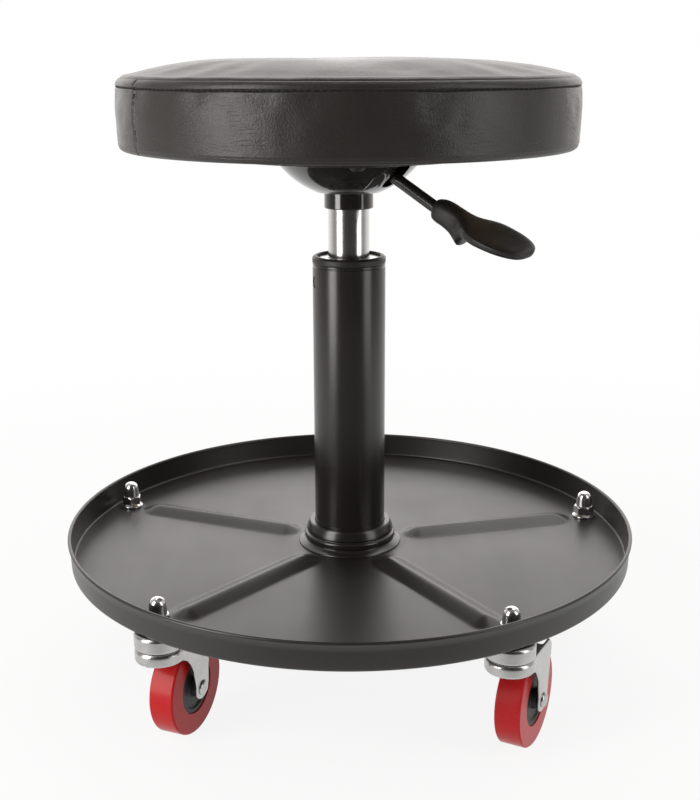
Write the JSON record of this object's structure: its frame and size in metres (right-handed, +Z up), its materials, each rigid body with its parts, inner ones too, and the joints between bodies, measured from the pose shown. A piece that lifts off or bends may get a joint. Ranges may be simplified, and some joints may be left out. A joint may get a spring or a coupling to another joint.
{
  "type": "creeper seat",
  "caption": "Rolling shop stool: round padded seat on a gas lift with a release lever, standing in a round tool tray on swivel casters.",
  "frame": {"origin": "on the floor, on the post's axis", "axes": "+Z up along the post; -Y towards the picture's camera, +X to its right; the lever points 40 degrees from +X towards -Y"},
  "size_m": [0.4, 0.4, 0.4225],
  "materials": {
    "black_powder_coat": "satin",
    "gloss_black_paint": "gloss",
    "black_board": "matte",
    "zinc_plate": "satin",
    "bright_chrome": "polished",
    "bearing_steel": "satin",
    "black_plastic": "satin",
    "core_plastic": "satin",
    "bush_plastic": "satin",
    "rubber": "matte",
    "red_polyurethane": "satin",
    "black_vinyl": "satin",
    "foam": "matte",
    "plywood": "matte"
  },
  "bodies": {
    "base": {"tray": "black_powder_coat", "outer_tube": "black_powder_coat", "base_plate": "black_powder_coat", "base_collar": "black_powder_coat", "tube_cap": "black_plastic", "cap_washer": "zinc_plate", "guide_bush": "bush_plastic", "lower_race": "bearing_steel", "bearing_cage": "bearing_steel", "bearing_balls": "bearing_steel", "caster_bolts": "zinc_plate", "acorn_nuts": "bright_chrome", "swivel_balls": "bearing_steel", "caster_1_cup": "zinc_plate", "caster_2_cup": "zinc_plate", "caster_3_cup": "zinc_plate", "caster_4_cup": "zinc_plate", "caster_5_cup": "zinc_plate"},
    "lift_rod": {"piston_rod": "bright_chrome", "piston": "bearing_steel", "upper_race": "bearing_steel", "bump_stop": "rubber", "rod_clip": "bearing_steel"},
    "seat": {"gas_column": "bright_chrome", "column_gland": "rubber", "taper_socket": "gloss_black_paint", "seat_bowl": "gloss_black_paint", "lever_bracket": "zinc_plate", "lever_pivot_pin": "zinc_plate", "spacer_disc": "black_board", "seat_board": "plywood", "seat_foam": "foam", "seat_top_cover": "black_vinyl", "seat_side_band": "black_vinyl", "bowl_screws": "gloss_black_paint"},
    "lever": {"lever_rod": "gloss_black_paint", "lever_handle": "black_plastic"},
    "button": {"release_button": "zinc_plate"},
    "caster_1": {"caster_1_fork": "zinc_plate", "caster_1_axle": "zinc_plate"},
    "wheel_1": {"caster_1_core": "core_plastic", "caster_1_tyre": "red_polyurethane"},
    "caster_2": {"caster_2_fork": "zinc_plate", "caster_2_axle": "zinc_plate"},
    "wheel_2": {"caster_2_core": "core_plastic", "caster_2_tyre": "red_polyurethane"},
    "caster_3": {"caster_3_fork": "zinc_plate", "caster_3_axle": "zinc_plate"},
    "wheel_3": {"caster_3_core": "core_plastic", "caster_3_tyre": "red_polyurethane"},
    "caster_4": {"caster_4_fork": "zinc_plate", "caster_4_axle": "zinc_plate"},
    "wheel_4": {"caster_4_core": "core_plastic", "caster_4_tyre": "red_polyurethane"},
    "caster_5": {"caster_5_fork": "zinc_plate", "caster_5_axle": "zinc_plate"},
    "wheel_5": {"caster_5_core": "core_plastic", "caster_5_tyre": "red_polyurethane"}
  },
  "joints": [
    {"name": "seat_swivel", "type": "hinge", "parent": "base", "child": "lift_rod", "pos_m": [0, 0, 0.0909], "axis": [0, 0, 1], "continuous": true},
    {"name": "seat_lift", "type": "slide", "parent": "lift_rod", "child": "seat", "axis": [0, 0, 1], "range_m": [-0.03, 0.09]},
    {"name": "lever_lift", "type": "hinge", "parent": "seat", "child": "lever", "pos_m": [0.01532, -0.01286, 0.3535], "axis": [-0.6428, -0.766, 0], "range_deg": [0, 7.5], "stiffness_Nm_per_rad": 5, "springref_deg": -17.19},
    {"name": "button_press", "type": "slide", "parent": "seat", "child": "button", "axis": [0, 0, 1], "range_m": [-0.0027, 0]},
    {"name": "caster_1_swivel", "type": "hinge", "parent": "base", "child": "caster_1", "pos_m": [0.17853, 0.04451, 0.0736], "axis": [0, 0, 1], "continuous": true},
    {"name": "wheel_1_spin", "type": "hinge", "parent": "caster_1", "child": "wheel_1", "pos_m": [0.15075, 0.03655, 0.03175], "axis": [0.2756, -0.9613, 0], "continuous": true},
    {"name": "caster_2_swivel", "type": "hinge", "parent": "base", "child": "caster_2", "pos_m": [0.01283, 0.18355, 0.0736], "axis": [0, 0, 1], "continuous": true},
    {"name": "wheel_2_spin", "type": "hinge", "parent": "caster_2", "child": "wheel_2", "pos_m": [0.00881, 0.15493, 0.03175], "axis": [0.9903, -0.1392, 0], "continuous": true},
    {"name": "caster_3_swivel", "type": "hinge", "parent": "base", "child": "caster_3", "pos_m": [-0.1706, 0.06893, 0.0736], "axis": [0, 0, 1], "continuous": true},
    {"name": "wheel_3_spin", "type": "hinge", "parent": "caster_3", "child": "wheel_3", "pos_m": [-0.14913, 0.04959, 0.03175], "axis": [0.6691, 0.7431, 0], "continuous": true},
    {"name": "caster_4_swivel", "type": "hinge", "parent": "base", "child": "caster_4", "pos_m": [-0.11827, -0.14095, 0.0736], "axis": [0, 0, 1], "continuous": true},
    {"name": "wheel_4_spin", "type": "hinge", "parent": "caster_4", "child": "wheel_4", "pos_m": [-0.10733, -0.1142, 0.03175], "axis": [-0.9255, 0.3786, 0], "continuous": true},
    {"name": "caster_5_swivel", "type": "hinge", "parent": "base", "child": "caster_5", "pos_m": [0.0975, -0.15604, 0.0736], "axis": [0, 0, 1], "continuous": true},
    {"name": "wheel_5_spin", "type": "hinge", "parent": "caster_5", "child": "wheel_5", "pos_m": [0.11085, -0.13041, 0.03175], "axis": [-0.887, 0.4617, 0], "continuous": true}
  ],
  "couplings": [
    {"joint": "button_press", "follows": "lever_lift", "m_per_rad": -0.02}
  ]
}
